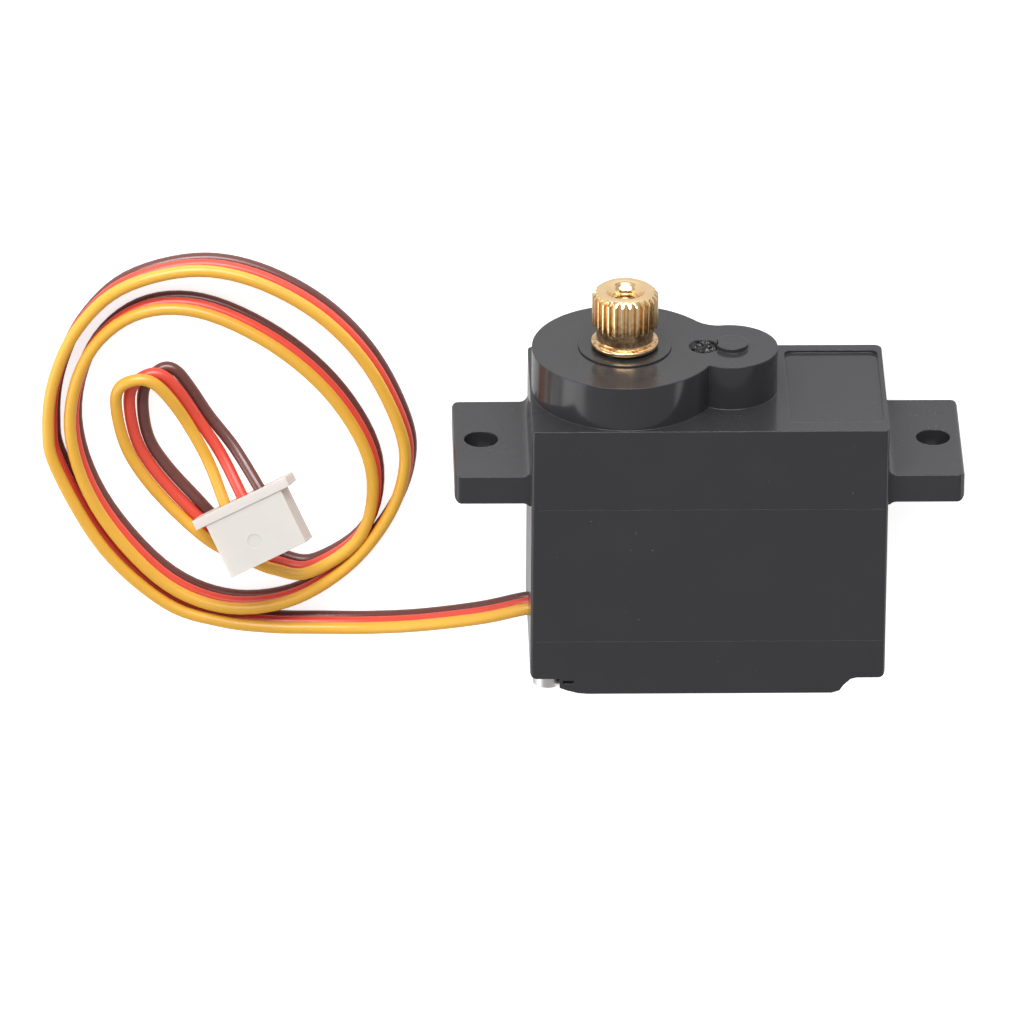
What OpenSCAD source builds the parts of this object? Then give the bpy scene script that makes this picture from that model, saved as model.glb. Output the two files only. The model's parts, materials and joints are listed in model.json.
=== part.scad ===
// Micro servo motor with metal output gear, three-wire lead and plug.
// Lies on its back: X ear to ear, Y along the output axis, Z out of the broad front face.
// Modules are drawn upright (z along the output axis, 0 at the case top) and laid down at the end.

/* [Case] */
// width of the case, left to right
body_w = 22.8; // [20:0.1:26]
// thickness of the case, back to front
body_d = 12.2; // [11:0.1:14]
// height of the case from the flat top to the underside of the cover
body_h = 17.8; // [16:0.1:22]
// height of the seam below the mounting ears, down from the top
seam_top = 5.6; // [5.5:0.1:7]
// height of the bottom cover seam, down from the top
seam_low = 15.1; // [14:0.1:16]
// thickness of the raised panel under the cover
pad_t = 1.1; // [0.4:0.1:2]
// wall thickness of the case
wall = 0.9; // [0.7:0.05:1]

/* [Mounting ears] */
// distance between the two mounting hole centres
hole_pitch = 29.0; // [27:0.1:32]
// diameter of the mounting holes
hole_d = 2.2; // [1.6:0.1:3]
// overall span across both ears
ear_span = 32.6; // [30:0.1:36]
// width of an ear, back to front
ear_d = 10.6; // [8:0.1:12]
// thickness of an ear
ear_t = 1.9; // [1.2:0.1:3]
// top of the ears, down from the case top
ear_top = 3.5; // [2:0.1:4]

/* [Output] */
// height of the round tower above the flat top
tower_h = 3.0; // [2.5:0.1:4]
// radius of the round tower
tower_r = 5.95; // [5.9:0.05:6.05]
// radius of the small lobe beside the tower
lobe_r = 3.05; // [3:0.05:3.4]
// diameter of the splined output end
spline_d = 4.25; // [3.9:0.05:4.6]
// number of teeth on the spline
spline_teeth = 28; // [20:1:30]
// height of the splined end above the tower
spline_h = 4.1; // [3:0.1:5]
// diameter of the horn screw hole
screw_hole_d = 1.85; // [1.4:0.05:2.1]

/* [Gears] */
// tooth module of the three lower stages
mod_a = 0.3; // [0.3:0.01:0.3]
// tooth module of the motor stage
mod_b = 0.25; // [0.25:0.01:0.25]
// teeth on each wheel
wheel_teeth = 31; // [31:1:31]
// teeth on each small pinion
pinion_teeth = 14; // [14:1:14]

/* [Lead] */
// diameter of each insulated wire
wire_d = 0.78; // [0.6:0.02:0.8]
// spacing of the ways in the plug
plug_pitch = 1.25; // [1.25:0.05:1.25]

/* [Hidden] */
$fn = 48;
hw = body_w / 2;
hd = body_d / 2;
axis_a = mod_a * (wheel_teeth + pinion_teeth) / 2;
out_x = -5.35;
arb_x = out_x + axis_a;
mot_x = arb_x + mod_b * 20;
cav_w = hw - wall;
cav_d = hd - wall;
deck = seam_top + 1.0;
pad_z = body_h + pad_t;
mid_y = (pad_z - tower_h - spline_h) / 2;
screw_x = hw - 1.15;
screw_y = hd - 1.15;
board_z = -14.3;
plug_at = [-29.82, -3.39, 2.9];
plug_turn = 28;
plug_tilt = 22;
// wire path: x, y, z of the first wire, then the step across to the next wire
lead_route = [
    [-8.2, -8.9, 6.75, 0, 0, -0.8],
    [-9.8, -9.5, 6.75, 0, 0, -0.8],
    [-11.6, -9.7, 6.75, 0, 0, -0.8],
    [-14.4, -10.75, 6.0, 0, 0, -0.8],
    [-18.4, -12.0, 4.6, 0.1, 0, -0.8],
    [-21.7, -12.9, 3.2, 0.15, 0, -0.8],
    [-24.9, -13.3, 2.4, 0.2, 0, -0.8],
    [-28.1, -13.4, 2.05, 0.2, 0, -0.8],
    [-31.3, -12.95, 2.02, 0.2, 0.05, -0.8],
    [-34.8, -11.6, 2.02, 0.2, 0.05, -0.8],
    [-38.8, -7.6, 2.02, 0.2, 0.05, -0.8],
    [-41.8, -1.8, 2.02, 0.2, 0.05, -0.8],
    [-42.3, 1.2, 2.02, 0.2, 0.05, -0.8],
    [-41.9, 4.6, 2.02, 0.2, 0.05, -0.8],
    [-40.4, 8.2, 2.02, 0.2, 0.05, -0.8],
    [-37.6, 11.1, 2.02, 0.2, 0.05, -0.8],
    [-33.2, 12.4, 2.02, 0.2, 0.05, -0.8],
    [-29.1, 11.7, 2.02, 0.2, 0.05, -0.8],
    [-24.9, 9.2, 2.02, 0.2, 0.05, -0.8],
    [-21.7, 5.5, 2.02, 0.2, 0.05, -0.8],
    [-19.6, 0.8, 2.02, 0.2, 0.05, -0.8],
    [-19.4, -2.4, 2.02, 0.2, 0.05, -0.8],
    [-20.6, -5.8, 2.02, 0.2, 0.05, -0.8],
    [-23.2, -9.2, 2.02, 0.2, 0.05, -0.8],
    [-27.0, -11.6, 2.02, 0.2, 0.05, -0.8],
    [-31.3, -11.9, 2.02, 0.2, 0.05, -0.8],
    [-35.4, -9.7, 2.02, 0.2, 0.05, -0.8],
    [-39.3, -4.5, 2.02, 0.2, 0.05, -0.8],
    [-40.9, 1.1, 2.02, 0.2, 0.05, -0.8],
    [-39.8, 6.2, 2.02, 0.2, 0.05, -0.8],
    [-36.8, 9.2, 2.02, 0.2, 0.05, -0.8],
    [-32.7, 9.5, 2.02, 0.2, 0.05, -0.8],
    [-27.8, 7.0, 2.02, 0.2, 0.05, -0.8],
    [-23.8, 3.0, 2.02, 0.2, 0.05, -0.8],
    [-21.5, -1.9, 2.02, 0.2, 0.05, -0.8],
    [-22.1, -6.7, 2.02, 0.2, 0.05, -0.8],
    [-25.4, -9.4, 2.0, 0.2, 0.1, -0.78],
    [-27.7, -9.25, 1.9, 0.22, 0.15, -0.74],
    [-29.6, -8.5, 1.75, 0.3, 0.25, -0.66],
    [-31.8, -7.5, 1.4, 0.4, 0.35, -0.5],
    [-34.1, -5.5, 0.95, 0.62, 0.45, -0.22],
    [-36.0, -3.1, 1.0, 0.68, 0.35, -0.25],
    [-37.3, -0.6, 1.2, 0.75, 0.1, -0.35],
    [-37.9, 2.3, 1.6, 0.85, -0.15, -0.4],
    [-37.7, 4.0, 2.0, 0.85, -0.15, -0.6],
    [-36.6, 4.7, 2.2, 0.8, 0.0, -0.8],
    [-35.5, 4.4, 2.1, 0.7, 0.1, -0.75],
    [-34.4, 3.1, 1.9, 0.6, 0.15, -0.68],
    [-33.2, 1.0, 1.6, 0.62, 0.15, -0.55],
    [-31.95, -1.5, 1.8, 0.82, 0.38, -0.32],
    [-30.924, -3.978, 2.9, 1.104, 0.587, 0],
    [-30.445, -4.879, 3.313, 1.104, 0.587, 0]
];

// ---- shared shapes ----

// block between two z heights, centred on x and y
module slab(w, d, z0, z1) {
    translate([-w / 2, -d / 2, z0])
        cube([w, d, z1 - z0]);
}

// cylinder between two z heights
module rod(r, z0, z1, n = 48) {
    translate([0, 0, z0])
        cylinder(r = r, h = z1 - z0, $fn = n);
}

// rounded rectangle, front corners and back corners rounded differently
module plan(w, d, rf, rb) {
    union() {
        square([w - 2 * rb, d], center = true);
        translate([-w / 2 + rf, -d / 2])
            square([w - 2 * rf, rf + 0.01]);
        translate([-w / 2, -d / 2 + rf])
            square([w, d - rf - rb]);
        for (s = [-1, 1]) {
            translate([s * (w / 2 - rf), -d / 2 + rf])
                circle(r = rf);
            translate([s * (w / 2 - rb), d / 2 - rb])
                circle(r = rb);
        }
    }
}

// rounded block between two heights
module block(w, d, z0, z1, rf = 0.25, rb = 0.5) {
    translate([0, 0, z0])
        linear_extrude(height = z1 - z0)
            plan(w, d, rf, rb);
}

// flank angle of an involute at radius r over base radius b
function inva(r, b) = r <= b ? 0 : sqrt(r * r / (b * b) - 1) * 180 / PI - acos(b / r);

// gear outline: stub involute teeth with a little backlash
function gear_pts(m, n, turn) =
    let (rp = m * n / 2, b = rp * cos(20), ra = rp + 0.8 * m, rr = rp - 1.1 * m)
    let (h = 90 / n - 1.1 / rp + inva(rp, b))
    let (rs = [rr, max(b, rr + 0.04), rp - 0.1 * m, rp + 0.4 * m, ra])
    [
        for (k = [0 : n - 1])
            each concat(
                [for (r = rs) r * [cos(turn + k * 360 / n - h + inva(r, b)),
                                   sin(turn + k * 360 / n - h + inva(r, b))]],
                [for (i = [4 : -1 : 0]) rs[i] * [cos(turn + k * 360 / n + h - inva(rs[i], b)),
                                                 sin(turn + k * 360 / n + h - inva(rs[i], b))]]
            )
    ];

// toothed disc between two heights
module toothed(m, n, z0, z1, turn = 0) {
    translate([0, 0, z0])
        linear_extrude(height = z1 - z0)
            polygon(gear_pts(m, n, turn));
}

// point on a smooth curve through four route points
function curve(a, b, c, d, t) =
    0.5 * (2 * b + (c - a) * t + (2 * a - 5 * b + 4 * c - d) * t * t
        + (3 * b - a - 3 * c + d) * t * t * t);

// rounded-off path through the route points, n steps a span
function path(p, n) = [
    for (i = [0 : len(p) - 2])
        for (j = [0 : n - 1])
            curve(p[max(i - 1, 0)], p[i], p[i + 1], p[min(i + 2, len(p) - 1)], j / n),
    p[len(p) - 1]
];

// one tube swept along a path
module tube(p, r, sides = 8) {
    n = len(p);
    t = [for (i = [0 : n - 1]) p[min(i + 1, n - 1)] - p[max(i - 1, 0)]];
    u = [for (v = t) cross(v, [0, 0, 1]) / norm(cross(v, [0, 0, 1]))];
    w = [for (i = [0 : n - 1]) cross(u[i], t[i]) / norm(t[i])];
    pts = [
        for (i = [0 : n - 1])
            for (k = [0 : sides - 1])
                p[i] + r * (cos(k * 360 / sides) * u[i] + sin(k * 360 / sides) * w[i])
    ];
    faces = [
        [for (k = [0 : sides - 1]) sides - 1 - k],
        [for (k = [0 : sides - 1]) (n - 1) * sides + k],
        for (i = [0 : n - 2])
            for (k = [0 : sides - 1])
                each [
                    [i * sides + k, i * sides + (k + 1) % sides, (i + 1) * sides + k],
                    [(i + 1) * sides + k, i * sides + (k + 1) % sides, (i + 1) * sides + (k + 1) % sides]
                ]
    ];
    polyhedron(points = pts, faces = faces, convexity = 6);
}

// lay an upright drawing down into its resting pose
module lay() {
    translate([0, mid_y, hd])
        rotate([-90, 0, 0])
            children();
}

// side profile with both lower corners rounded
module rounded_end(half, z0, z1, r) {
    union() {
        translate([-half, z0 + r])
            square([2 * half, z1 - z0 - r]);
        translate([-half + r, z0])
            square([2 * half - 2 * r, z1 - z0]);
        for (s = [-1, 1])
            translate([s * (half - r), z0 + r])
                circle(r = r);
    }
}

// ---- case ----

// outline of the tower with its lobe, grown or shrunk by g
module tower_plan(g = 0) {
    union() {
        translate([out_x, 0])
            circle(r = tower_r + g, $fn = 96);
        translate([arb_x, 0])
            circle(r = lobe_r + g, $fn = 64);
        // smooth blend behind the waist
        if (g == 0)
            difference() {
                translate([-1.2, 1.0])
                    square([2.2, 2.9]);
                translate([0.86, 5.0])
                    circle(r = 2.02);
                translate([0.86, 2.98])
                    square([2, 3]);
                translate([-3, 3.9])
                    square([5, 2]);
            }
    }
}

module ear(s) {
    translate([s * hw, 0, 0])
        difference() {
            union() {
                // tab with rounded tip corners
                translate([0, -ear_d / 2 - 0.2, -ear_top - ear_t])
                    translate([s > 0 ? -0.6 : 0.6 - (ear_span / 2 - hw) - 0.6, 0, 0])
                        linear_extrude(height = ear_t)
                            union() {
                                translate([s > 0 ? 0 : 0.5, 0])
                                    square([ear_span / 2 - hw + 0.1, ear_d]);
                                translate([0, 0.5])
                                    square([ear_span / 2 - hw + 0.6, ear_d - 1.0]);
                                for (y = [0.5, ear_d - 0.5])
                                    translate([s > 0 ? ear_span / 2 - hw + 0.1 : 0.5, y])
                                        circle(r = 0.5);
                            }
                // root fillets above and below
                for (v = [0, 1])
                    translate([0, ear_d / 2 - 0.2, v == 0 ? -ear_top : -ear_top - ear_t])
                        rotate([90, 0, 0])
                            linear_extrude(height = ear_d)
                                difference() {
                                    translate([s > 0 ? -0.3 : -0.55, v == 0 ? -0.1 : -0.2])
                                        square([0.85, v == 0 ? 0.65 : 0.3]);
                                    translate([s * 0.55, v == 0 ? 0.55 : -0.55])
                                        circle(r = 0.55);
                                    if (v == 1)
                                        translate([-1, -0.75])
                                            square([2, 0.55]);
                                }
            }
            translate([s * (hole_pitch / 2 - hw), -0.2, -ear_top - ear_t - 1])
                cylinder(d = hole_d, h = ear_t + 2);
            // rounded lower and upper tip edges
            for (v = [[-ear_top - ear_t, 0.45, 1], [-ear_top, 0.25, -1]])
                translate([s * (ear_span / 2 - hw - v[1]), hd, v[0] + v[2] * v[1]])
                    rotate([90, 0, 0])
                        linear_extrude(height = body_d + 1)
                            difference() {
                                translate([s > 0 ? 0 : -1, v[2] > 0 ? -1 : 0])
                                    square([1, 1]);
                                circle(r = v[1]);
                            }
        }
}

module top_case() {
    color([0.09, 0.09, 0.095])
        difference() {
            union() {
                block(body_w, body_d, -seam_top, 0);
                linear_extrude(height = tower_h)
                    tower_plan();
                ear(-1);
                ear(1);
                // raised cap over the gear arbor
                translate([arb_x + 0.1, 0, 0])
                    rod(1.05, tower_h - 0.1, tower_h + 0.3);
            }
            // gate scar beside the cap
            translate([arb_x - 1.7, 0, 0])
                rod(0.95, tower_h - 0.12, tower_h + 1, 24);
            // gear space
            difference() {
                block(2 * cav_w, 2 * cav_d, -seam_top - 1, -wall, 0.6, 0.6);
                for (s = [-1, 1])
                    translate([s * screw_x, s * screw_y, 0])
                        slab(2.4, 2.4, -seam_top - 2, 0);
            }
            // tower space
            translate([0, 0, -wall - 0.1])
                linear_extrude(height = tower_h)
                    union() {
                        translate([out_x, 0])
                            circle(r = 5.15);
                        translate([arb_x, 0])
                            circle(r = 2.55);
                    }
            translate([out_x, 0, 0])
                rod(2.6, 0, tower_h + 1);
            translate([out_x, 0, 0])
                rod(2.96, tower_h - 0.15, tower_h + 1);
            // arbor socket
            translate([arb_x, 0, 0])
                rod(0.5, 0, tower_h - 0.1);
            // screw pilot holes
            for (s = [-1, 1])
                translate([s * screw_x, s * screw_y, 0])
                    rod(0.5, -seam_top - 1, -2.2, 24);
            // shallow panel on the flat top
            translate([8.1, 0.25, 0])
                block(6.0, 10.2, -0.2, 1, 0.55, 0.55);
        }
}

module middle_case() {
    color([0.1, 0.1, 0.105])
        difference() {
            block(body_w, body_d, -seam_low, -seam_top);
            // room below the deck
            difference() {
                block(2 * cav_w, 2 * cav_d, -seam_low - 1, -deck, 0.4, 0.4);
                for (s = [-1, 1])
                    translate([s * screw_x, s * screw_y, 0])
                        slab(2.4, 2.4, -seam_low - 2, 0);
                // potentiometer seat
                translate([out_x, 0, 0])
                    difference() {
                        slab(8.2, 8.2, -9.4, -deck + 1);
                        rod(2.4, -10, 0);
                    }
                // motor cradle
                translate([mot_x, 0, 0])
                    difference() {
                        slab(8.0, 10.4, -9.5, -deck + 1);
                        rod(4.05, -10, 0);
                    }
            }
            // motor nose, arbor and output shaft openings
            translate([mot_x, 0, 0])
                rod(1.6, -deck - 1, 0);
            translate([arb_x, 0, 0])
                rod(0.5, -deck + 0.2, 0);
            translate([out_x, 0, 0])
                rod(1.05, -deck - 1, 0);
            for (s = [-1, 1])
                translate([s * screw_x, s * screw_y, 0])
                    rod(0.65, -seam_low - 1, 0, 24);
        }
}

module bottom_cover() {
    color([0.09, 0.09, 0.095])
        difference() {
            union() {
                intersection() {
                    block(body_w, body_d, -body_h, -seam_low);
                    translate([0, hd + 1, 0])
                        rotate([90, 0, 0])
                            linear_extrude(height = body_d + 2)
                                rounded_end(hw, -body_h, 2, 0.45);
                }
                // raised panel
                translate([0, hd, 0])
                    rotate([90, 0, 0])
                        linear_extrude(height = body_d)
                            polygon([
                                [-9.5, -body_h + 0.2], [-9.5, -body_h - 0.6 * pad_t],
                                [-9.0, -body_h - 0.78 * pad_t],
                                [-8.3, -body_h - 0.95 * pad_t], [-7.7, -pad_z],
                                [8.0, -pad_z], [8.5, -body_h - 0.85 * pad_t],
                                [8.75, -body_h - 0.5 * pad_t], [9.2, -body_h - 0.1 * pad_t],
                                [9.6, -body_h], [9.6, -body_h + 0.2]
                            ]);
            }
            difference() {
                block(2 * cav_w, 2 * cav_d, -body_h + wall, 0, 0.4, 0.4);
                for (s = [-1, 1])
                    translate([s * screw_x, s * screw_y, 0])
                        slab(2.4, 2.4, -body_h, 0);
            }
            for (s = [-1, 1])
                translate([s * screw_x, s * screw_y, 0]) {
                    rod(0.65, -body_h - 2, 0, 24);
                    rod(1.1, -body_h - 2, -body_h, 32);
                }
            // short slot in the front edge of the panel beside the screw
            translate([-9.3, -hd - 1, -body_h - 0.36])
                cube([0.7, 1.25, 0.22]);
            // wire slot in the upper edge
            translate([-hw - 1, -1.1, -seam_low - 0.9])
                cube([3, 2.6, 1.5]);
        }
}

module case_screws() {
    color([0.75, 0.75, 0.77])
        for (s = [-1, 1])
            translate([s * screw_x, s * screw_y, 0])
                difference() {
                    union() {
                        rod(0.5, -body_h - 0.2, -2.6, 24);
                        rod(0.95, -body_h - 0.76, -body_h, 32);
                    }
                    for (a = [0, 90])
                        rotate([0, 0, a])
                            slab(0.6, 0.16, -body_h - 1, -body_h - 0.4);
                }
}

// ---- output ----

module output_bushing() {
    color([0.05, 0.05, 0.055])
        translate([out_x, 0, 0])
            difference() {
                union() {
                    rod(2.6, 1.95, tower_h);
                    rod(2.96, tower_h - 0.15, tower_h + 0.12, 64);
                }
                rod(1.85, 1, tower_h + 1);
            }
}

module output_gear() {
    color([0.85, 0.65, 0.32])
        translate([out_x, 0, 0])
            difference() {
                union() {
                    toothed(mod_a, wheel_teeth, -1.2, 1.6);
                    rod(1.8, 1.5, tower_h + 0.3);
                    // flange, neck and spline
                    translate([0, 0, tower_h])
                        rotate_extrude()
                            polygon([
                                [0, 0.2], [2.0, 0.22], [2.16, 0.36], [2.17, 0.5],
                                [2.08, 0.66], [1.92, 0.76], [1.84, 0.95], [1.83, 1.8],
                                [0, 1.8]
                            ]);
                    intersection() {
                        translate([0, 0, tower_h + 1.67])
                            linear_extrude(height = spline_h)
                                polygon([
                                    for (k = [0 : spline_teeth - 1])
                                        for (q = [[-0.32, 1], [-0.13, 0], [0.13, 0], [0.32, 1]])
                                            (spline_d / 2 - 0.24 * q[1])
                                            * [cos((k + q[0]) * 360 / spline_teeth),
                                               sin((k + q[0]) * 360 / spline_teeth)]
                                ]);
                        translate([0, 0, tower_h])
                            rotate_extrude()
                                polygon([
                                    [0, 1], [3, 1], [3, spline_h - 0.8],
                                    [2.0, spline_h - 0.22], [1.7, spline_h], [0, spline_h]
                                ]);
                    }
                }
                // horn screw hole with its countersunk mouth
                rod(screw_hole_d / 2, 1.9, 9);
                translate([0, 0, tower_h + spline_h - 0.3])
                    cylinder(r1 = screw_hole_d / 2, r2 = screw_hole_d / 2 + 0.34, h = 0.301);
                // flatted socket for the sensor shaft
                difference() {
                    rod(1.0, -2, 1.2);
                    translate([0.7, -2, -3])
                        cube([2, 4, 6]);
                }
            }
}

// wheel and pinion in one piece
module cluster(mw, nw, tw, z0, z1, mp, np, tp, z2, bore) {
    difference() {
        union() {
            toothed(mw, nw, z0, z1, tw);
            toothed(mp, np, z1 - 0.1, z2, tp);
        }
        rod(bore, z0 - 1, z2 + 1, 32);
        // web recess under the wheel
        difference() {
            rod(mw * nw / 2 - 0.95, z0 - 1, z0 + 0.25);
            rod(bore + 0.7, z0 - 1, z0 + 1, 32);
        }
    }
}

module third_gear() {
    color([0.8, 0.62, 0.3])
        translate([arb_x, 0, 0])
            cluster(mod_a, wheel_teeth, 180 + 180 / wheel_teeth, -2.5, -1.5,
                mod_a, pinion_teeth, 180 / pinion_teeth, 1.6, 0.55);
}

module second_gear() {
    color([0.82, 0.64, 0.31])
        translate([out_x, 0, 0])
            cluster(mod_a, wheel_teeth, 0, -3.9, -2.9,
                mod_a, pinion_teeth, 0, -1.5, 1.05);
}

module first_gear() {
    color([0.92, 0.92, 0.88])
        translate([arb_x, 0, 0])
            cluster(mod_b, 30, 0, -5.2, -4.3,
                mod_a, pinion_teeth, 180 / pinion_teeth, -2.9, 0.55);
}

module gear_arbor() {
    color([0.7, 0.7, 0.72])
        translate([arb_x, 0, 0])
            rod(0.5, -deck + 0.2, tower_h - 0.1, 32);
}

// ---- motor ----

module motor_pinion() {
    color([0.83, 0.66, 0.35])
        translate([mot_x, 0, 0])
            difference() {
                toothed(mod_b, 10, -5.4, -4.1, 18);
                rod(0.5, -6, -3, 32);
            }
}

module motor_can() {
    color([0.72, 0.73, 0.75])
        translate([mot_x, 0, 0])
            difference() {
                union() {
                    rod(4.0, -15.2, -deck, 64);
                    rod(1.5, -deck - 0.1, -deck + 0.55);
                }
                rod(3.65, -16, -deck - 0.35, 64);
                rod(1.1, -8, -5, 32);
            }
}

module motor_bearings() {
    color([0.75, 0.6, 0.35])
        translate([mot_x, 0, 0]) {
            difference() {
                rod(1.1, -deck - 0.35, -deck + 0.5, 32);
                rod(0.54, -8, -5, 32);
            }
            difference() {
                rod(1.1, -15.85, -15.0, 32);
                rod(0.54, -17, -14, 32);
            }
        }
}

module motor_end_cap() {
    color([0.93, 0.92, 0.88])
        translate([mot_x, 0, 0])
            difference() {
                union() {
                    rod(4.0, -16.0, -15.2, 64);
                    rod(3.65, -15.3, -14.7, 64);
                }
                rod(1.1, -15.85, -14, 32);
                rod(3.1, -15.2, -14, 48);
                for (s = [-1, 1])
                    translate([0, s * 2.75, 0])
                        slab(0.9, 0.35, -17, -14);
            }
}

module motor_magnets() {
    color([0.25, 0.25, 0.27])
        translate([mot_x, 0, -13.6])
            linear_extrude(height = 5.6)
                intersection() {
                    difference() {
                        circle(r = 3.65);
                        circle(r = 3.0);
                    }
                    union() {
                        polygon([[0.4, 0], [4.2, -3.4], [4.2, 3.4]]);
                        polygon([[-0.4, 0], [-4.2, -3.4], [-4.2, 3.4]]);
                    }
                }
}

module motor_shaft() {
    color([0.7, 0.7, 0.72])
        translate([mot_x, 0, 0])
            rod(0.5, -15.75, -4.0, 32);
}

module armature_core() {
    color([0.45, 0.46, 0.48])
        translate([mot_x, 0, -13.0])
            linear_extrude(height = 4.4)
                difference() {
                    union() {
                        circle(r = 1.0);
                        for (a = [0, 120, 240])
                            rotate(a)
                                translate([0, -0.4])
                                    square([2.3, 0.8]);
                        for (a = [0, 120, 240])
                            rotate(a)
                                intersection() {
                                    difference() {
                                        circle(r = 2.7);
                                        circle(r = 2.2);
                                    }
                                    polygon([[0, 0], [4, -4.2], [4, 4.2]]);
                                }
                    }
                    circle(r = 0.5);
                }
}

module armature_windings() {
    color([0.72, 0.35, 0.16])
        translate([mot_x, 0, 0])
            for (a = [0, 120, 240])
                rotate([0, 0, a])
                    translate([1.5, 0, 0])
                        difference() {
                            slab(0.9, 1.8, -13.4, -8.2);
                            slab(2, 0.8, -13.0, -8.6);
                        }
}

module commutator() {
    color([0.8, 0.45, 0.25])
        translate([mot_x, 0, 0])
            difference() {
                rod(0.95, -14.9, -13.5, 36);
                rod(0.5, -16, -12, 32);
                for (a = [0, 120, 240])
                    rotate([0, 0, a])
                        translate([0.75, -0.06, -15.5])
                            cube([1, 0.12, 1.6]);
            }
}

module motor_brushes() {
    color([0.78, 0.58, 0.28])
        translate([mot_x, 0, 0])
            for (s = [-1, 1])
                translate([0, s * 1.85, 0])
                    slab(0.6, 1.76, -14.6, -14.1);
}

module motor_terminals() {
    color([0.8, 0.78, 0.7])
        translate([mot_x, 0, 0])
            for (s = [-1, 1])
                translate([0, s * 2.75, 0])
                    slab(0.9, 0.3, -16.4, -14.6);
}

// ---- position sensor ----

module pot_body() {
    color([0.16, 0.35, 0.2])
        translate([out_x, 0, 0])
            difference() {
                union() {
                    rod(3.6, -12.0, -9.4);
                    rod(2.3, -9.5, -8.2, 36);
                }
                rod(3.2, -13, -9.9);
                rod(1.05, -13, -8, 32);
            }
}

module pot_cover() {
    color([0.5, 0.42, 0.3])
        translate([out_x, 0, 0])
            difference() {
                union() {
                    rod(3.6, -12.6, -12.0);
                    rod(3.2, -12.2, -11.7);
                }
                rod(0.7, -11.95, -11, 32);
            }
}

module pot_track() {
    color([0.06, 0.06, 0.06])
        translate([out_x, 0, 0])
            difference() {
                rod(2.8, -11.7, -11.55);
                rod(1.7, -12, -11, 36);
                translate([-0.4, -4, -12])
                    cube([0.8, 2.6, 1]);
            }
}

module pot_wiper() {
    color([0.85, 0.8, 0.6])
        translate([out_x, 0, 0]) {
            difference() {
                rod(1.5, -11.0, -10.5, 36);
                rod(1.0, -12, -10, 32);
            }
            translate([-0.35, 1.3, -11.0])
                cube([0.7, 1.3, 0.25]);
            translate([-0.25, 2.0, -11.5])
                cube([0.5, 0.5, 0.55]);
        }
}

module pot_shaft() {
    color([0.85, 0.85, 0.82])
        translate([out_x, 0, 0])
            difference() {
                rod(1.0, -11.6, 1.2, 48);
                translate([0.7, -2, -1.2])
                    cube([2, 4, 6]);
            }
}

module pot_terminals() {
    color([0.8, 0.8, 0.78])
        for (y = [-2.2, 0, 2.2])
            translate([out_x, y, 0])
                slab(0.5, 0.3, board_z - 0.3, -12.6);
}

// ---- control board ----

module control_board() {
    color([0.1, 0.35, 0.16])
        difference() {
            translate([-3.55, 0, 0])
                slab(10.7, 9.0, board_z, board_z + 0.8);
            for (y = [-2.2, 0, 2.2])
                translate([out_x, y, 0])
                    slab(0.5, 0.3, board_z - 1, board_z + 2);
        }
}

module controller_chip() {
    color([0.07, 0.07, 0.07])
        translate([-0.9, 0, 0])
            slab(3.0, 3.9, board_z - 1.0, board_z);
}

module driver_chips() {
    color([0.09, 0.09, 0.1])
        for (y = [-3.3, 3.3])
            translate([-0.9, y, 0])
                slab(1.6, 1.3, board_z - 0.9, board_z);
}

module board_capacitors() {
    color([0.62, 0.5, 0.36])
        for (p = [[-3.6, 3.5], [-3.6, -3.5], [-5.9, 3.5]])
            translate([p[0], p[1], 0])
                slab(1.6, 0.8, board_z - 0.7, board_z);
}

module board_resistors() {
    color([0.12, 0.12, 0.13])
        for (p = [[-5.9, -3.6], [-7.9, -3.6], [-7.9, 3.6], [-3.2, 1.6]])
            translate([p[0], p[1], 0])
                slab(1.2, 0.6, board_z - 0.35, board_z);
}

module solder_joints() {
    color([0.78, 0.78, 0.78])
        for (y = [-0.8, 0, 0.8])
            translate([-7.9, y, 0])
                slab(0.6, 0.6, board_z - 0.45, board_z);
}

// short hook-up wires from the motor tags to the board
module motor_lead(s) {
    tube(path([
        [mot_x - 0.45, s * 2.75, -16.2], [mot_x - 1.6, s * 2.9, -16.3],
        [mot_x - 3.2, s * 3.1, -16.3], [2.4, s * 3.4, -15.6],
        [1.75, s * 3.4, board_z - 0.3], [1.3, s * 3.4, board_z - 0.25]
    ], 2), 0.25, 6);
}

module motor_lead_a() {
    color([0.75, 0.12, 0.1])
        motor_lead(-1);
}

module motor_lead_b() {
    color([0.1, 0.2, 0.6])
        motor_lead(1);
}

// ---- lead and plug ----

// wire number k of the flat lead
module lead(k) {
    tube(path([
        for (q = lead_route)
            [q[0] + k * q[3], q[1] + k * q[4], q[2] + k * q[5]]
    ], 2), wire_d / 2, 8);
}

module lead_yellow() {
    color([0.93, 0.68, 0.2])
        lead(0);
}

module lead_red() {
    color([0.86, 0.22, 0.16])
        lead(1);
}

module lead_brown() {
    color([0.33, 0.17, 0.15])
        lead(2);
}

module at_plug() {
    translate(plug_at)
        rotate([0, 0, plug_turn])
            rotate([-plug_tilt, 0, 0])
                children();
}

module connector_housing() {
    color([0.93, 0.92, 0.89])
        at_plug()
            difference() {
                union() {
                    translate([-3.4, -0.65, -1.4])
                        cube([6.8, 0.65, 2.8]);
                    translate([-2.72, -4.4, -1.3])
                        cube([5.44, 4.0, 2.6]);
                }
                for (k = [-1, 0, 1])
                    translate([k * plug_pitch, 0, 0]) {
                        translate([-0.45, -6, -0.6])
                            cube([0.9, 7, 1.2]);
                        translate([-0.3, -6, 0.5])
                            cube([0.6, 3.0, 0.5]);
                    }
                // moulding mark
                translate([-0.3, -2.9, 1.25])
                    cylinder(r = 0.45, h = 1, $fn = 32);
            }
}

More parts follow.
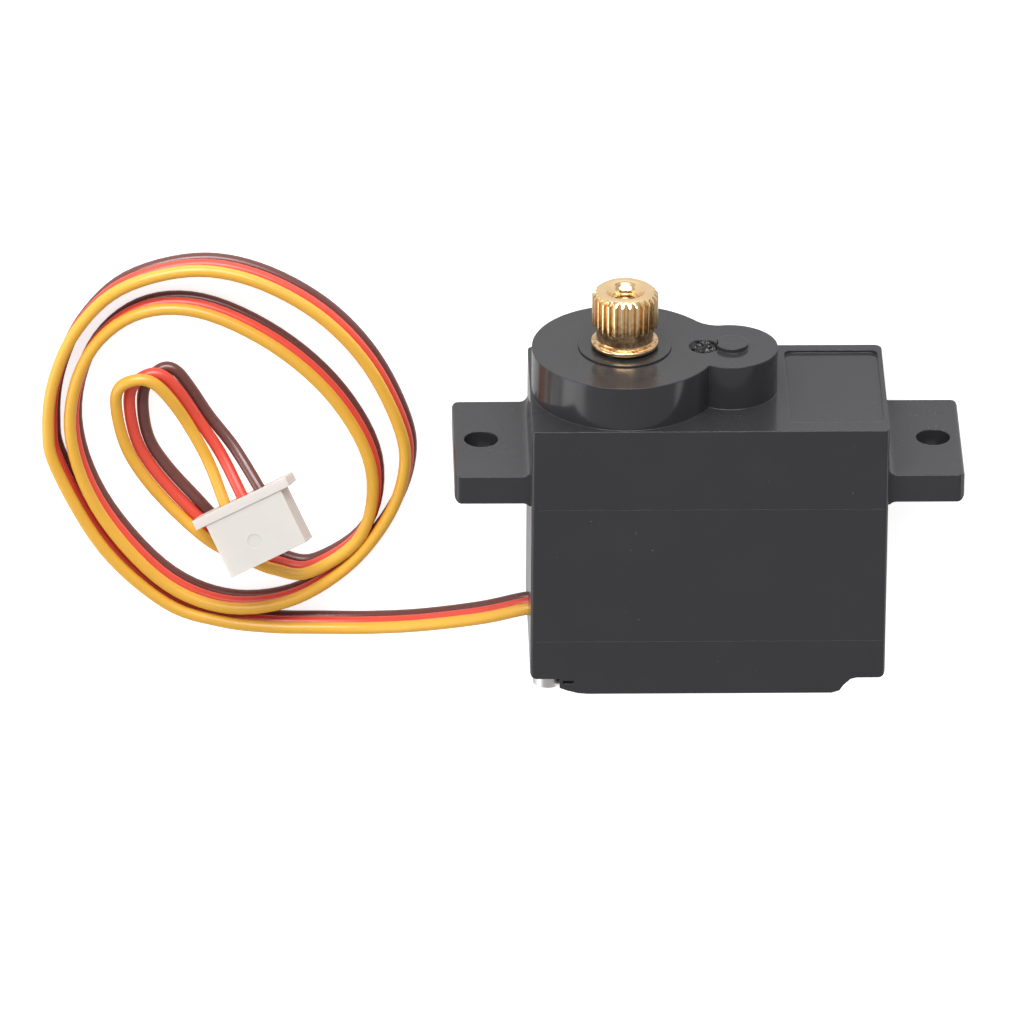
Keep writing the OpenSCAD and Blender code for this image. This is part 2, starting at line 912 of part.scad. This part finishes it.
module connector_contacts() {
    color([0.82, 0.8, 0.74])
        at_plug()
            for (k = [-1, 0, 1])
                translate([k * plug_pitch, 0, 0])
                    difference() {
                        translate([-0.45, -4.0, -0.6])
                            cube([0.9, 2.9, 1.2]);
                        translate([-0.28, -5, -0.42])
                            cube([0.56, 3.2, 0.84]);
                    }
}

lay() top_case();
lay() middle_case();
lay() bottom_cover();
lay() case_screws();
lay() output_bushing();
lay() output_gear();
lay() third_gear();
lay() second_gear();
lay() first_gear();
lay() gear_arbor();
lay() motor_pinion();
lay() motor_can();
lay() motor_end_cap();
lay() motor_shaft();
lay() motor_bearings();
lay() motor_magnets();
lay() armature_core();
lay() armature_windings();
lay() commutator();
lay() motor_brushes();
lay() motor_terminals();
lay() pot_body();
lay() pot_cover();
lay() pot_track();
lay() pot_wiper();
lay() pot_shaft();
lay() pot_terminals();
lay() control_board();
lay() controller_chip();
lay() driver_chips();
lay() board_capacitors();
lay() board_resistors();
lay() solder_joints();
lay() motor_lead_a();
lay() motor_lead_b();
lead_yellow();
lead_red();
lead_brown();
connector_housing();
connector_contacts();
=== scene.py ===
import json
import math

import bmesh
import bpy
from mathutils import Matrix, Vector, noise


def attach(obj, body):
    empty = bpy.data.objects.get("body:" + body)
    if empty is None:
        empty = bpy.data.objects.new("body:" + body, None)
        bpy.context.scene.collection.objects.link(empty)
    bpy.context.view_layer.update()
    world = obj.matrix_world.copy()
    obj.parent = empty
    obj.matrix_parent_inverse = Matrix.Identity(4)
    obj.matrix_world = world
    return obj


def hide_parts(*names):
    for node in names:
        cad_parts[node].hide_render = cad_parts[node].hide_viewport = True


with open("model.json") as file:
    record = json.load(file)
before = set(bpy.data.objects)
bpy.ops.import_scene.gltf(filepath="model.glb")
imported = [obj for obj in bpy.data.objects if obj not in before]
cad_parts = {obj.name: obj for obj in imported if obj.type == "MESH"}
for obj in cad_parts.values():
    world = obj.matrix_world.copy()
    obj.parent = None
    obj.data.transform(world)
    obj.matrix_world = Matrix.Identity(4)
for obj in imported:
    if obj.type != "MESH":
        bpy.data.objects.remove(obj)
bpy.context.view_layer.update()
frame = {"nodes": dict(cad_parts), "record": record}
scene = bpy.context.scene
MM = 0.001

# places on the servo, in millimetres
SHAFT_X, SHAFT_Z = -5.35, 6.1  # the output axis runs along Y
TOWER_TOP = 8.9
SCAR_X, SCAR_FLOOR = -0.28, 8.80
WIRE_RADIUS = 0.39

# ---------------------------------------------------------------- camera

cam_data = bpy.data.cameras.new("camera")
cam = bpy.data.objects.new("camera", cam_data)
scene.collection.objects.link(cam)
scene.camera = cam
cam_at = Vector((-33.2, 403.3, 787.6)) * MM
look_at = Vector((-12.5, -2.6, 6.8)) * MM
frame_up = Vector((0.0046, 0.8886, -0.4586))
forward = (look_at - cam_at).normalized()
right = forward.cross(frame_up).normalized()
up = right.cross(forward)
turn = Matrix((right, up, -forward)).transposed()
cam.matrix_world = Matrix.Translation(cam_at) @ turn.to_4x4()
cam_data.lens = 481.5
cam_data.sensor_width = 36
cam_data.clip_start = 0.05
cam_data.clip_end = 20


# ---------------------------------------------------------------- materials


class Mat:
    """A principled material with helpers for procedural detail."""

    def __init__(self, name):
        self.m = bpy.data.materials.new(name)
        self.m.use_nodes = True
        self.t = self.m.node_tree
        self.b = self.t.nodes["Principled BSDF"]
        self.pos = self.t.nodes.new("ShaderNodeNewGeometry").outputs["Position"]

    def put(self, **kw):
        for k, v in kw.items():
            self.b.inputs[k.replace("_", " ")].default_value = v
        return self

    def noise(self, scale, detail=4.0, rough=0.5):
        n = self.t.nodes.new("ShaderNodeTexNoise")
        n.inputs["Scale"].default_value = scale
        n.inputs["Detail"].default_value = detail
        n.inputs["Roughness"].default_value = rough
        self.t.links.new(self.pos, n.inputs["Vector"])
        return n.outputs["Fac"]

    def ramp(self, fac, a, b, lo=0.0, hi=1.0):
        r = self.t.nodes.new("ShaderNodeMapRange")
        r.inputs["From Min"].default_value = a
        r.inputs["From Max"].default_value = b
        r.inputs["To Min"].default_value = lo
        r.inputs["To Max"].default_value = hi
        self.t.links.new(fac, r.inputs["Value"])
        return r.outputs["Result"]

    def mix(self, fac, a, b):
        """Blends two colours, each given as numbers or as a socket."""
        n = self.t.nodes.new("ShaderNodeMix")
        n.data_type = "RGBA"
        self.t.links.new(fac, n.inputs["Factor"])
        in_a, in_b = (q for q in n.inputs if q.type == "RGBA")
        for sock, v in ((in_a, a), (in_b, b)):
            if hasattr(v, "is_output"):
                self.t.links.new(v, sock)
            else:
                sock.default_value = (*v, 1.0)
        return next(q for q in n.outputs if q.type == "RGBA")

    def times(self, a, b):
        n = self.t.nodes.new("ShaderNodeMath")
        n.operation = "MULTIPLY"
        self.t.links.new(a, n.inputs[0])
        self.t.links.new(b, n.inputs[1])
        return n.outputs[0]

    def to(self, out, name):
        self.t.links.new(out, self.b.inputs[name])
        return self

    def bump(self, fac, strength, distance):
        """Adds a bump on top of what already feeds the normal."""
        n = self.t.nodes.new("ShaderNodeBump")
        n.inputs["Strength"].default_value = strength
        n.inputs["Distance"].default_value = distance
        self.t.links.new(fac, n.inputs["Height"])
        last = self.b.inputs["Normal"]
        if last.is_linked:
            self.t.links.new(last.links[0].from_socket, n.inputs["Normal"])
        self.t.links.new(n.outputs["Normal"], last)
        return self


def shades(c, k):
    return tuple(min(1.0, v * k) for v in c)


def plain(name, colour, rough, metal=0.0, vary=0.12, grain=900, bump=0.05, **kw):
    """Base finish for small parts: mottled colour, uneven gloss, faint bump."""
    m = Mat(name).put(Metallic=metal, Roughness=rough, **kw)
    n = m.noise(grain)
    m.to(m.mix(n, shades(colour, 1 - vary), shades(colour, 1 + vary)), "Base Color")
    m.to(m.ramp(m.noise(grain * 0.35), 0.3, 0.7, rough * 0.85, rough * 1.2), "Roughness")
    m.bump(n, bump, 0.00002)
    return m.m


def case_plastic(name, base, rough, edge):
    """Glossy black moulding: worn-round edges, fine orange peel, dust specks, rubbed marks."""
    m = Mat(name).put(IOR=1.5, Specular_IOR_Level=0.36)
    soft = m.t.nodes.new("ShaderNodeBevel")
    soft.samples = 6
    soft.inputs["Radius"].default_value = edge * MM
    m.to(soft.outputs["Normal"], "Normal")
    cloud = m.noise(260, 3)
    body = m.mix(cloud, shades(base, 0.9), shades(base, 1.12))
    dust = m.ramp(m.noise(5200, 1, 0.3), 0.80, 0.84)
    where = m.ramp(m.noise(230, 2), 0.52, 0.70)
    speck_grey = (0.16, 0.16, 0.165)
    m.to(m.mix(m.times(dust, where), body, speck_grey), "Base Color")
    m.to(m.ramp(m.noise(520, 5, 0.6), 0.3, 0.72, rough * 0.8, rough * 1.3), "Roughness")
    m.bump(m.noise(900, 3), 0.10, 0.000012)
    m.bump(m.noise(5200, 2), 0.05, 0.000006)
    return m.m


def brass_metal(name, base, rough):
    """Turned brass: pale and bright, with patches of brown tarnish and painted shade low on the
    teeth, standing in for the dark case they mirror.
    """
    m = Mat(name).put(Metallic=1.0)
    clean = m.mix(m.noise(700, 4), shades(base, 0.88), shades(base, 1.1))
    split = m.t.nodes.new("ShaderNodeSeparateXYZ")
    m.t.links.new(m.pos, split.inputs[0])
    tarnish_and_shade = (0.45, 0.24, 0.10)
    tarnish_shade_top, tarnish_shade_full = 0.0122, 0.0105
    # painted shade: brown darkening low on the teeth, standing in for the dark case mirrored there,
    # mixed with tarnish patches
    low_shade = m.ramp(split.outputs["Y"], tarnish_shade_top, tarnish_shade_full)
    patch = m.ramp(m.noise(2300, 5, 0.7), 0.40, 0.62)
    m.to(m.mix(m.times(low_shade, patch), clean, tarnish_and_shade), "Base Color")
    m.to(m.ramp(m.noise(1500, 4), 0.3, 0.7, rough * 0.7, rough * 1.5), "Roughness")
    m.bump(m.noise(2600, 3), 0.10, 0.00001)
    return m.m


def wire_pvc(name, base, rough):
    """Soft PVC sleeve with a slight extrusion waviness."""
    m = Mat(name).put(IOR=1.5, Subsurface_Weight=0.06, Subsurface_Scale=0.0004)
    m.to(m.mix(m.noise(350, 4), shades(base, 0.93), shades(base, 1.06)), "Base Color")
    m.to(m.ramp(m.noise(800, 4), 0.3, 0.7, rough * 0.85, rough * 1.2), "Roughness")
    m.bump(m.noise(1300, 3), 0.12, 0.00002)
    return m.m


CASE_COLOUR = (0.0315, 0.0315, 0.034)
MATS = {
    "case_black": case_plastic("case black", CASE_COLOUR, 0.15, 0.11),
    "bushing_black": plain("bushing black", (0.022, 0.022, 0.024), 0.2, vary=0.2),
    "steel": plain("screw steel", (0.66, 0.65, 0.64), 0.42, 1.0, 0.08, 1500),
    "brass": brass_metal("brass", (0.88, 0.64, 0.36), 0.18),
    "gear_plastic": plain("gear plastic", (0.8, 0.79, 0.74), 0.4),
    "can_steel": plain("motor can steel", (0.55, 0.56, 0.58), 0.3, 1.0, 0.1, 700),
    "cap_plastic": plain("end cap plastic", (0.78, 0.77, 0.7), 0.45),
    "bronze": plain("bronze", (0.55, 0.38, 0.18), 0.4, 1.0),
    "magnet": plain("magnet", (0.06, 0.06, 0.065), 0.55, 0.2, 0.2),
    "lamination": plain("laminations", (0.3, 0.31, 0.33), 0.4, 1.0, 0.15, 2000),
    "copper_wire": plain("enamelled wire", (0.6, 0.22, 0.08), 0.25, 1.0, 0.2, 2500, 0.3),
    "copper": plain("copper", (0.75, 0.38, 0.2), 0.25, 1.0),
    "tin": plain("tinned contact", (0.7, 0.69, 0.66), 0.28, 1.0),
    "pot_green": plain("sensor body", (0.05, 0.15, 0.07), 0.5, vary=0.2),
    "pot_tan": plain("sensor cover", (0.3, 0.21, 0.12), 0.55, vary=0.2),
    "carbon": plain("carbon track", (0.012, 0.012, 0.013), 0.6, vary=0.4),
    "white_acetal": plain("acetal", (0.78, 0.78, 0.74), 0.35),
    "board_green": plain("board green", (0.02, 0.13, 0.05), 0.3, vary=0.25, grain=500),
    "chip_black": plain("chip black", (0.02, 0.02, 0.021), 0.5, vary=0.3),
    "ceramic_tan": plain("ceramic tan", (0.42, 0.3, 0.18), 0.45),
    "solder": plain("solder", (0.68, 0.68, 0.69), 0.2, 1.0),
    "wire_red_fine": plain("fine wire red", (0.5, 0.03, 0.02), 0.35),
    "wire_blue_fine": plain("fine wire blue", (0.02, 0.05, 0.35), 0.35),
    "wire_yellow": wire_pvc("wire yellow", (0.80, 0.425, 0.045), 0.38),
    "wire_red": wire_pvc("wire red", (0.76, 0.075, 0.045), 0.36),
    "wire_brown": wire_pvc("wire brown", (0.145, 0.050, 0.043), 0.3),
    "nylon": plain(
        "nylon", (0.62, 0.588, 0.555), 0.36, vary=0.03, grain=600,
        Subsurface_Weight=0.4, Subsurface_Scale=0.0013, Subsurface_Radius=(1.0, 0.85, 0.75),
    ),
}
SLOT = {s["node"]: s["material_slot"] for s in frame["record"]["subparts"]}
BODY = {
    n: b for b, ns in frame["record"]["behaviour"]["bodies"].items() for n in ns
}

# ---------------------------------------------------------------- the lead

# wire path in millimetres: x, y, z of the yellow wire, then the step to the next wire
ROUTE = [
    (-8.2, -8.9, 6.75, 0, 0, -0.8), (-9.8, -9.5, 6.75, 0, 0, -0.8),
    (-11.6, -9.7, 6.75, 0, 0, -0.8), (-14.4, -10.75, 6.0, 0, 0, -0.8),
    (-18.4, -12.0, 4.6, 0.1, 0, -0.8), (-21.7, -12.9, 3.2, 0.15, 0, -0.8),
    (-24.9, -13.3, 2.4, 0.2, 0, -0.8), (-28.1, -13.4, 2.05, 0.2, 0, -0.8),
    (-31.3, -12.95), (-34.8, -11.6), (-38.8, -7.6), (-41.8, -1.8), (-42.3, 1.2),
    (-41.9, 4.6), (-40.4, 8.2), (-37.6, 11.1), (-33.2, 12.4), (-29.1, 11.7),
    (-24.9, 9.2), (-21.7, 5.5), (-19.6, 0.8), (-19.4, -2.4), (-20.6, -5.8),
    (-23.2, -9.2), (-27.0, -11.6), (-31.3, -11.9), (-35.4, -9.7), (-39.3, -4.5),
    (-40.9, 1.1), (-39.8, 6.2), (-36.8, 9.2), (-32.7, 9.5), (-27.8, 7.0),
    (-23.8, 3.0), (-21.5, -1.9), (-22.1, -6.7),
    (-25.4, -9.4, 2.0, 0.2, 0.1, -0.78), (-27.7, -9.25, 1.9, 0.22, 0.15, -0.74),
    (-29.6, -8.5, 1.75, 0.3, 0.25, -0.66), (-31.8, -7.5, 1.4, 0.4, 0.35, -0.5),
    (-34.1, -5.5, 0.95, 0.62, 0.45, -0.22), (-36.0, -3.1, 1.0, 0.68, 0.35, -0.25),
    (-37.3, -0.6, 1.2, 0.75, 0.1, -0.35), (-37.9, 2.3, 1.6, 0.85, -0.15, -0.4),
    (-37.7, 4.0, 2.0, 0.85, -0.15, -0.6), (-36.6, 4.7, 2.2, 0.8, 0.0, -0.8),
    (-35.5, 4.4, 2.1, 0.7, 0.1, -0.75), (-34.4, 3.1, 1.9, 0.6, 0.15, -0.68),
    (-33.2, 1.0, 1.6, 0.62, 0.15, -0.55), (-31.95, -1.5, 1.8, 0.82, 0.38, -0.32),
    (-30.924, -3.978, 2.9, 1.104, 0.587, 0), (-30.445, -4.879, 3.313, 1.104, 0.587, 0),
]
# height and step in the flat coil, for the points that give none
IN_COIL = (2.02, 0.2, 0.05, -0.8)
ROUTE = [p if len(p) == 6 else (*p, *IN_COIL) for p in ROUTE]
STEPS = 6  # points drawn from one route point to the next


def smooth(points, n):
    """Catmull-Rom line through the points, n steps a span."""
    out = []
    last = len(points) - 1
    for i in range(last):
        a, b = points[max(i - 1, 0)], points[i]
        c, d = points[i + 1], points[min(i + 2, last)]
        for j in range(n):
            t = j / n
            out.append(
                0.5 * (2 * b + (c - a) * t + (2 * a - 5 * b + 4 * c - d) * t * t
                       + (3 * b - a - 3 * c + d) * t ** 3)
            )
    return out + [points[last]]


def wire(name, k):
    """Wire k of the lead: its curve, its first point and its length in metres."""
    line = smooth(
        [
            Vector((x + k * dx, y + k * dy, z + k * dz)) * MM
            for x, y, z, dx, dy, dz in ROUTE
        ],
        STEPS,
    )
    data = bpy.data.curves.new(name, "CURVE")
    data.dimensions = "3D"
    data.bevel_depth = WIRE_RADIUS * MM
    data.bevel_resolution = 5
    data.use_fill_caps = True
    s = data.splines.new("POLY")
    s.points.add(len(line) - 1)
    for q, v in zip(s.points, line):
        q.co = (*v, 1.0)
    s.use_smooth = True
    obj = bpy.data.objects.new(name, data)
    scene.collection.objects.link(obj)
    length = sum((b - a).length for a, b in zip(line, line[1:]))
    return obj, line[0], length


for k, hue in enumerate(("yellow", "red", "brown")):
    obj, start, length = wire(f"wire_{hue}", k)
    obj.data.materials.append(MATS[f"wire_{hue}"])
    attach(obj, "housing")
    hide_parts(f"lead_{hue}")


# ---------------------------------------------------------------- case and gear pieces


MERGE = 0.000002
FLAT = math.radians(0.6)
CORNER = math.radians(28)


def refined(node, width=0, segments=3, skin=None):
    """A cleaned copy of a CAD node standing in for it, its edges rounded where width is given."""
    src = frame["nodes"][node]
    bm = bmesh.new()
    bm.from_mesh(src.data)
    bmesh.ops.remove_doubles(bm, verts=bm.verts, dist=MERGE)
    if width:
        bmesh.ops.dissolve_limit(bm, angle_limit=FLAT, verts=bm.verts, edges=bm.edges)
    bmesh.ops.recalc_face_normals(bm, faces=bm.faces)
    mesh = bpy.data.meshes.new(node + "_shape")
    bm.to_mesh(mesh)
    bm.free()
    # shading stored with the imported mesh would override the new one
    for stored in ("custom_normal", "sharp_face", "sharp_edge"):
        if stored in mesh.attributes:
            mesh.attributes.remove(mesh.attributes[stored])
    obj = bpy.data.objects.new(node + "_piece", mesh)
    scene.collection.objects.link(obj)
    for f in mesh.polygons:
        f.use_smooth = True
    mesh.materials.append(skin or MATS[SLOT[node]])
    if width:
        bev = obj.modifiers.new("edges", "BEVEL")
        bev.width = width * MM
        bev.segments = segments
        bev.limit_method = "ANGLE"
        bev.angle_limit = CORNER
        bev.harden_normals = True
        bev.miter_outer = "MITER_ARC"
    else:
        mesh.set_sharp_from_angle(angle=CORNER)
    wn = obj.modifiers.new("normals", "WEIGHTED_NORMAL")
    wn.keep_sharp = True
    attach(obj, BODY[node])
    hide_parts(node)
    return obj


crisp = case_plastic("case black crisp", CASE_COLOUR, 0.15, 0.045)
refined("top_case")
refined("middle_case", skin=crisp)
refined("bottom_cover", skin=crisp)
refined("output_bushing", 0.04, 2)
gear = refined("output_gear", 0.03, 2)
refined("case_screws", 0.16, 4)
housing_piece = refined("connector_housing", 0.10, 3)


def cut_above(obj, y):
    """Drops everything above height y, leaving an open rim."""
    bm = bmesh.new()
    bm.from_mesh(obj.data)
    bmesh.ops.bisect_plane(
        bm, geom=bm.verts[:] + bm.edges[:] + bm.faces[:],
        plane_co=(0, y, 0), plane_no=(0, 1, 0), clear_outer=True,
    )
    bm.to_mesh(obj.data)
    bm.free()


def spline_head():
    """The brass end above the case: flange, neck, toothed end and tapped hole, on one polar grid."""
    teeth, steps, tip, root = 28, 12, 2.125, 1.87
    land, flank = 0.28, 0.38  # shares of half a tooth pitch
    thread_top, thread_end, pitch = 3.72, 2.1, 0.3
    groove, crest = 0.925, 0.8
    # height above the tower top, radius, 1 where the surface is toothed
    rows = [
        (-0.3, 1.8, 0), (0.2, 1.8, 0), (0.23, 2.05, 0), (0.27, 2.12, 0), (0.34, 2.16, 0),
        (0.42, 2.17, 0), (0.5, 2.16, 0), (0.56, 2.12, 0), (0.6, 2.05, 0), (0.62, 1.96, 0),
        (0.64, 1.88, 0), (0.7, 1.84, 0), (0.8, 1.825, 0), (1.2, 1.825, 0), (1.62, 1.825, 0),
        (1.655, 1.83, 0), (1.66, 2.08, 1), (1.69, 3.0, 1), (2.0, 3.0, 1), (3.0, 3.0, 1),
        (3.5, 3.0, 1), (3.62, 3.0, 1), (3.72, 2.13, 1), (3.8, 2.06, 1), (3.88, 1.98, 1),
        (3.95, 1.9, 1), (4.02, 1.82, 1), (4.07, 1.74, 1), (4.1, 1.64, 0), (4.105, 1.5, 0),
        (4.1, 1.4, 0), (4.06, 1.3, 0), (3.98, 1.2, 0), (3.85, 1.06, 0), (3.76, 0.95, 0),
    ]
    z = thread_top
    while z > thread_end:
        rows += [
            (z, groove, 0), (z - 0.1, crest, 0), (z - 0.14, crest, 0), (z - 0.24, groove, 0)
        ]
        z -= pitch
    rows += [(1.4, 0.9, 0), (1.2, 0.02, 0)]
    count = teeth * steps
    bm = bmesh.new()
    grid = []
    for h, r, toothed in rows:
        line = []
        for i in range(count):
            q = abs((i / steps) % 1 - 0.5) * 2
            f = min(1, max(0, (q - land) / flank))
            wall = tip + (root - tip) * f * f * (3 - 2 * f)
            rr = min(r, wall) if toothed else r
            a = 2 * math.pi * (i / count)
            x, y, z = SHAFT_X + rr * math.cos(a), TOWER_TOP + h, SHAFT_Z + rr * math.sin(a)
            line.append(bm.verts.new((x * MM, y * MM, z * MM)))
        grid.append(line)
    for a, b in zip(grid, grid[1:]):
        for i in range(count):
            j = (i + 1) % count
            bm.faces.new((a[i], b[i], b[j], a[j]))
    bmesh.ops.recalc_face_normals(bm, faces=bm.faces)
    mesh = bpy.data.meshes.new("spline_head")
    bm.to_mesh(mesh)
    bm.free()
    mesh.set_sharp_from_angle(angle=math.radians(38))
    mesh.materials.append(MATS["brass"])
    obj = bpy.data.objects.new("output_spline_head", mesh)
    scene.collection.objects.link(obj)
    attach(obj, "output")
    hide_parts("output_gear")


def gate_scar():
    """The torn moulding gate beside the arbor cap, a ragged lump in its well, its black painted
    darker than the case plastic as shade.
    """
    rings, around, radius = 30, 54, 0.98
    bm = bmesh.new()
    grid = []
    for i in range(rings + 1):
        line = []
        for k in range(around):
            a = 2 * math.pi * k / around
            edge = 1 + 0.10 * noise.noise(Vector((math.cos(a) * 1.7, math.sin(a) * 1.7, 0.4)))
            r = radius * edge * i / rings
            x, z = 1.08 * r * math.cos(a), 0.95 * r * math.sin(a)
            p = Vector((x * 1.5 + 0.3, z * 2.1, 1.7))
            rough = noise.turbulence(p * 1.6, 5, True) - 0.45
            torn = noise.noise(Vector((x * 1.4 - z * 0.9, z * 3.4 + x, 5.2)))
            fade = min(1, (1 - i / rings) * 6)
            y = SCAR_FLOOR + max(-0.02, (0.01 + 0.38 * rough + 0.28 * torn) * fade)
            line.append(bm.verts.new(((SCAR_X + x) * MM, y * MM, (SHAFT_Z + z) * MM)))
        grid.append(line)
    for a, b in zip(grid, grid[1:]):
        for i in range(around):
            j = (i + 1) % around
            bm.faces.new((a[i], a[j], b[j], b[i]))
    bmesh.ops.remove_doubles(bm, verts=bm.verts, dist=0.0000005)
    bmesh.ops.recalc_face_normals(bm, faces=bm.faces)
    mesh = bpy.data.meshes.new("gate_scar")
    bm.to_mesh(mesh)
    bm.free()
    for f in mesh.polygons:
        f.use_smooth = True
    # painted shade: the scar's black is darker than the case plastic it is made of
    shaded_torn_black = case_plastic("case black torn painted shade", (0.011, 0.011, 0.0118), 0.26, 0.02)
    mesh.materials.append(shaded_torn_black)
    obj = bpy.data.objects.new("gate_scar", mesh)
    scene.collection.objects.link(obj)
    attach(obj, "housing")


# the finer spline head takes over just below the tower top
cut_above(gear, (TOWER_TOP - 0.1) * MM)
spline_head()
gate_scar()

for node, obj in frame["nodes"].items():
    obj.data.materials.clear()
    obj.data.materials.append(MATS[SLOT[node]])

# ---------------------------------------------------------------- studio


def panel(name, size, at, aim, power):
    data = bpy.data.lights.new(name, "AREA")
    data.shape = "RECTANGLE"
    data.size, data.size_y = size
    data.energy = power
    obj = bpy.data.objects.new(name, data)
    scene.collection.objects.link(obj)
    obj.location = at
    way = Vector(aim) - Vector(at)
    obj.rotation_euler = way.to_track_quat("-Z", "Y").to_euler()
    return obj


just_under = -0.00002
bpy.ops.mesh.primitive_plane_add(size=6, location=(0, 0, just_under))
floor = bpy.context.object
floor.name = "table"
paper = Mat("white table").put(Roughness=0.7)
# the part mirrors a dimmer table than the camera sees, so its black faces stay black
mirrored = paper.t.nodes.new("ShaderNodeLightPath").outputs["Is Glossy Ray"]
sheet = paper.mix(paper.noise(60), (0.80, 0.80, 0.80), (0.83, 0.83, 0.83))
paper.to(paper.mix(mirrored, sheet, (0.5, 0.5, 0.505)), "Base Color")
paper.put(Emission_Color=(1, 1, 1, 1))
paper.to(paper.ramp(mirrored, 0, 1, 0.74, 0.33), "Emission Strength")
floor.data.materials.append(paper.m)

world = bpy.data.worlds.new("studio")
scene.world = world
world.use_nodes = True
sky = world.node_tree.nodes["Background"].inputs
sky["Color"].default_value = (1, 1, 1, 1)
sky["Strength"].default_value = 0.5
panel("key", (0.7, 0.3), (-0.1, 0.75, 0.42), (-0.01, 0, 0), 7.0)
panel("fill", (0.5, 0.5), (-0.7, -0.1, 0.3), (-0.01, 0, 0), 2.5)
# these three show only in reflections: they add the glints along rounded edges
for lamp in (
    panel("rim_top", (1.0, 0.5), (0.03, 0.74, 0.58), (0, 0, 0), 10.0),
    panel("rim_side", (0.22, 0.4), (-0.66, -0.36, 0.27), (0, 0, 0), 0.3),
    panel("rim_right", (0.35, 0.5), (0.74, -0.38, 0.1), (0, 0, 0), 0.8),
):
    lamp.visible_diffuse = False
scene.view_settings.view_transform = "Standard"
